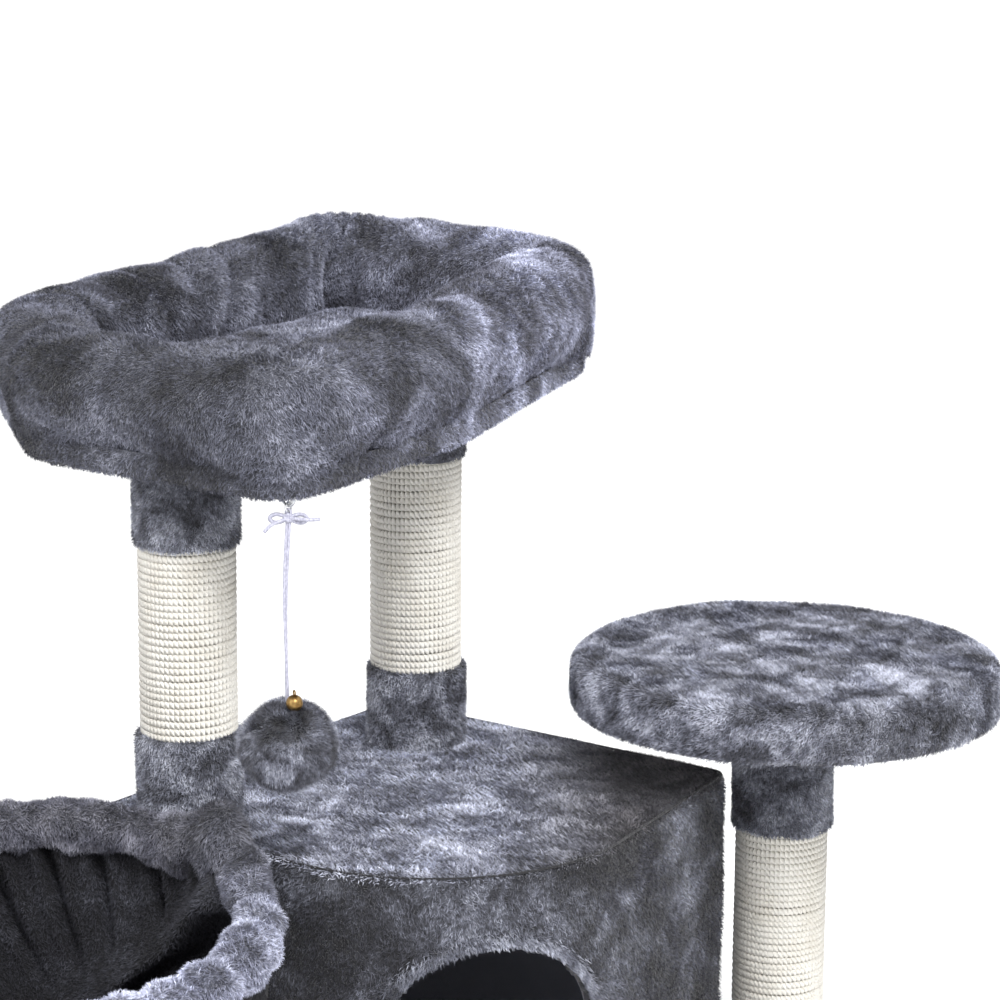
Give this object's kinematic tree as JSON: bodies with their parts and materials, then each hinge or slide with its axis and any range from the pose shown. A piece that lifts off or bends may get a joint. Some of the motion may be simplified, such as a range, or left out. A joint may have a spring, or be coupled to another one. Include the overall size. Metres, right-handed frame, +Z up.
{
  "type": "cat tree",
  "caption": "Plush-covered cat tree with a den, a bolstered bed on two sisal posts, a round jumping platform, a hoop basket and a hanging ball.",
  "frame": {"origin": "on the floor, under the middle of the whole tree seen from above", "axes": "+Z up; -Y the front, where the basket hangs and the doorway looks out to the right; +X to the platform's side"},
  "size_m": [0.675, 0.8754, 0.6675],
  "materials": {
    "grey_plush": "long soft pile, mottled nap",
    "basket_fleece": "short dark pile",
    "dark_lining": "brushed, matt",
    "sisal_rope": "twisted natural fibre, matt",
    "paper_tube": "plain card, matt",
    "plug_wood": "plain",
    "particle_board": "raw chipboard",
    "fibre_board": "raw hardboard",
    "underside_felt": "thin felt",
    "foam_filling": "open-cell foam",
    "zinc_steel": "zinc plated",
    "black_wire": "satin black",
    "white_elastic": "braided elastic",
    "brass_bell": "bright, slightly worn"
  },
  "bodies": {
    "tree": {"base_board": "particle_board", "base_cover": "grey_plush", "base_lining": "underside_felt", "base_bolts": "zinc_steel", "den_floor_board": "particle_board", "den_left_panel": "fibre_board", "den_back_panel": "fibre_board", "den_curved_wall": "fibre_board", "den_top_board": "particle_board", "den_wall_cover": "grey_plush", "den_top_cover": "grey_plush", "den_lining": "dark_lining", "den_screws": "zinc_steel", "den_bolts": "zinc_steel", "front_post_tube": "paper_tube", "front_post_plugs": "plug_wood", "front_post_nuts": "zinc_steel", "front_post_sisal": "sisal_rope", "front_post_sleeves": "grey_plush", "rear_post_tube": "paper_tube", "rear_post_plugs": "plug_wood", "rear_post_nuts": "zinc_steel", "rear_post_sisal": "sisal_rope", "rear_post_sleeves": "grey_plush", "side_post_tube": "paper_tube", "side_post_plugs": "plug_wood", "side_post_nuts": "zinc_steel", "side_post_sisal": "sisal_rope", "side_post_sleeves": "grey_plush", "bed_board": "particle_board", "bed_cover": "grey_plush", "bed_bolster": "grey_plush", "bed_pad": "grey_plush", "bed_bolts": "zinc_steel", "platform_board": "particle_board", "platform_foam": "foam_filling", "platform_cover": "grey_plush", "platform_underside": "underside_felt", "platform_bolts": "zinc_steel", "basket_hoop": "black_wire", "basket_rim": "grey_plush", "basket_bowl": "basket_fleece", "basket_screws": "zinc_steel", "toy_staple": "zinc_steel"},
    "toy_link": {"toy_loop": "zinc_steel"},
    "toy": {"toy_bow": "white_elastic", "toy_cord": "white_elastic", "toy_ball_filling": "foam_filling", "toy_ball_cover": "grey_plush"},
    "bell": {"toy_bell": "brass_bell"},
    "pellet": {"toy_bell_pellet": "zinc_steel"}
  },
  "joints": [
    {"name": "toy_swing_front_back", "type": "hinge", "parent": "tree", "child": "toy_link", "pos_m": [0.0405, -0.11826, 0.5575], "axis": [1, 0, 0], "range_deg": [-20, 20]},
    {"name": "toy_swing_side", "type": "hinge", "parent": "toy_link", "child": "toy", "pos_m": [0.0405, -0.11826, 0.5536], "axis": [0, 1, 0], "range_deg": [-20, 20]},
    {"name": "bell_tilt", "type": "hinge", "parent": "toy", "child": "bell", "pos_m": [0.04977, -0.12474, 0.43558], "axis": [0.8713, -0.4907, 0], "range_deg": [-12, 12]},
    {"name": "pellet_rattle", "type": "slide", "parent": "bell", "child": "pellet", "axis": [0, 0, 1], "range_m": [0, 0.0025]}
  ]
}
